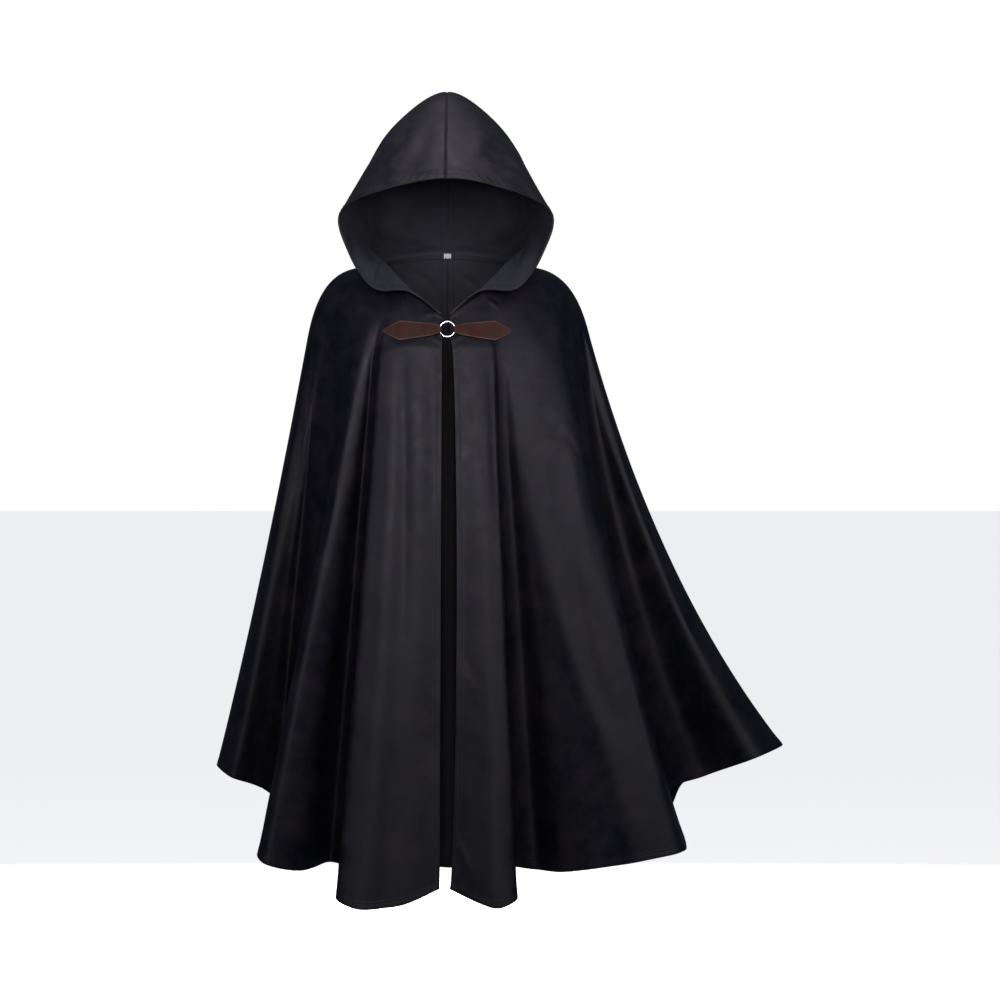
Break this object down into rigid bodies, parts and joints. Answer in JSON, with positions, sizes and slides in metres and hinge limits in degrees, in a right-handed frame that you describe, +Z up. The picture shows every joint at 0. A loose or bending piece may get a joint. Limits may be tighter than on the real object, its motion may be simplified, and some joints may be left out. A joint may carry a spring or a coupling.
{
  "type": "hooded wool cloak",
  "caption": "Long flared hooded cloak, worn form with nobody in it, open down the front below a ring clasp with two pointed leather tabs.",
  "frame": {"origin": "middle of the neck opening, level with the sides of the neck, where the wearer's neck and shoulders hold the cloak up", "axes": "+Z up; -Y is the way the open front faces; +X is the wearer's left"},
  "size_m": [1.0218, 0.5223, 1.4458],
  "materials": {
    "cloth": "black wool cloth with a short smooth nap and a soft sheen",
    "tab_leather": "smooth brown leather, satin",
    "ring_metal": "polished",
    "label_cloth": "plain white woven tape"
  },
  "bodies": {
    "root": {"front_right": "cloth", "front_left": "cloth", "back_right": "cloth", "back_left": "cloth", "hood_right": "cloth", "hood_left": "cloth", "tab_right": "tab_leather", "tab_left": "tab_leather", "ring": "ring_metal", "neck_label": "label_cloth"}
  },
  "joints": []
}
